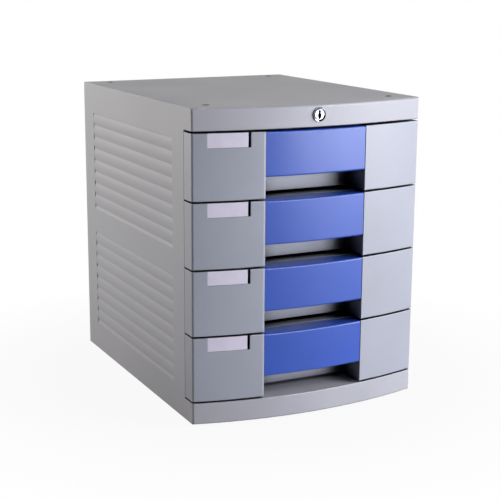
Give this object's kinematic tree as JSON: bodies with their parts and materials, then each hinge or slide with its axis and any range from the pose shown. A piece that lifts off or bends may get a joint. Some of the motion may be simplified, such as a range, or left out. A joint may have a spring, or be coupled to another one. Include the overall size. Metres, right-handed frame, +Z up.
{
  "type": "desktop file drawer cabinet",
  "caption": "Free-standing plastic desktop cabinet with a bowed front, stacked file drawers with coloured pulls under a lock rail, and ribbed sides.",
  "frame": {"origin": "on the surface it stands on, under the middle of the whole cabinet's box", "axes": "+X to the viewer's right along the front, +Y to the back, +Z up; the drawers open towards -Y"},
  "size_m": [0.272, 0.3516, 0.337],
  "materials": {
    "casing": "fine satin moulded grey",
    "front": "fine satin moulded cool grey",
    "tray": "matt moulded grey",
    "pull": "semi-gloss blue",
    "card": "smooth card",
    "chrome": "polished plating",
    "steel": "zinc plated",
    "bar": "matt moulded grey",
    "rubber": "matt"
  },
  "bodies": {
    "cabinet": {"top_cover": "casing", "left_side_panel": "casing", "right_side_panel": "casing", "back_panel": "casing", "base_plinth": "casing", "rubber_feet": "rubber", "casing_screws": "steel", "lock_barrel": "chrome", "lock_nut": "steel"},
    "lock_rotor": {"lock_plug": "chrome", "lock_clip": "steel", "lock_rod": "steel"},
    "locking_bar": {"locking_bar": "bar"},
    "drawer_1": {"drawer_1_tray": "tray", "drawer_1_front": "front", "drawer_1_pull": "pull", "drawer_1_label": "card", "drawer_1_screws": "steel"},
    "drawer_2": {"drawer_2_tray": "tray", "drawer_2_front": "front", "drawer_2_pull": "pull", "drawer_2_label": "card", "drawer_2_screws": "steel"},
    "drawer_3": {"drawer_3_tray": "tray", "drawer_3_front": "front", "drawer_3_pull": "pull", "drawer_3_label": "card", "drawer_3_screws": "steel"},
    "drawer_4": {"drawer_4_tray": "tray", "drawer_4_front": "front", "drawer_4_pull": "pull", "drawer_4_label": "card", "drawer_4_screws": "steel"}
  },
  "joints": [
    {"name": "lock_turn", "type": "hinge", "parent": "cabinet", "child": "lock_rotor", "pos_m": [0, -0.1742, 0.3263], "axis": [0, 1, 0], "range_deg": [0, 90]},
    {"name": "bar_slide", "type": "slide", "parent": "cabinet", "child": "locking_bar", "axis": [0, 0, -1], "range_m": [0, 0.0065]},
    {"name": "drawer_1_slide", "type": "slide", "parent": "cabinet", "child": "drawer_1", "axis": [0, -1, 0], "range_m": [0, 0.235]},
    {"name": "drawer_2_slide", "type": "slide", "parent": "cabinet", "child": "drawer_2", "axis": [0, -1, 0], "range_m": [0, 0.235]},
    {"name": "drawer_3_slide", "type": "slide", "parent": "cabinet", "child": "drawer_3", "axis": [0, -1, 0], "range_m": [0, 0.235]},
    {"name": "drawer_4_slide", "type": "slide", "parent": "cabinet", "child": "drawer_4", "axis": [0, -1, 0], "range_m": [0, 0.235]}
  ],
  "couplings": [
    {"joint": "lock_turn", "follows": "bar_slide", "rad_per_m": 241.46}
  ]
}
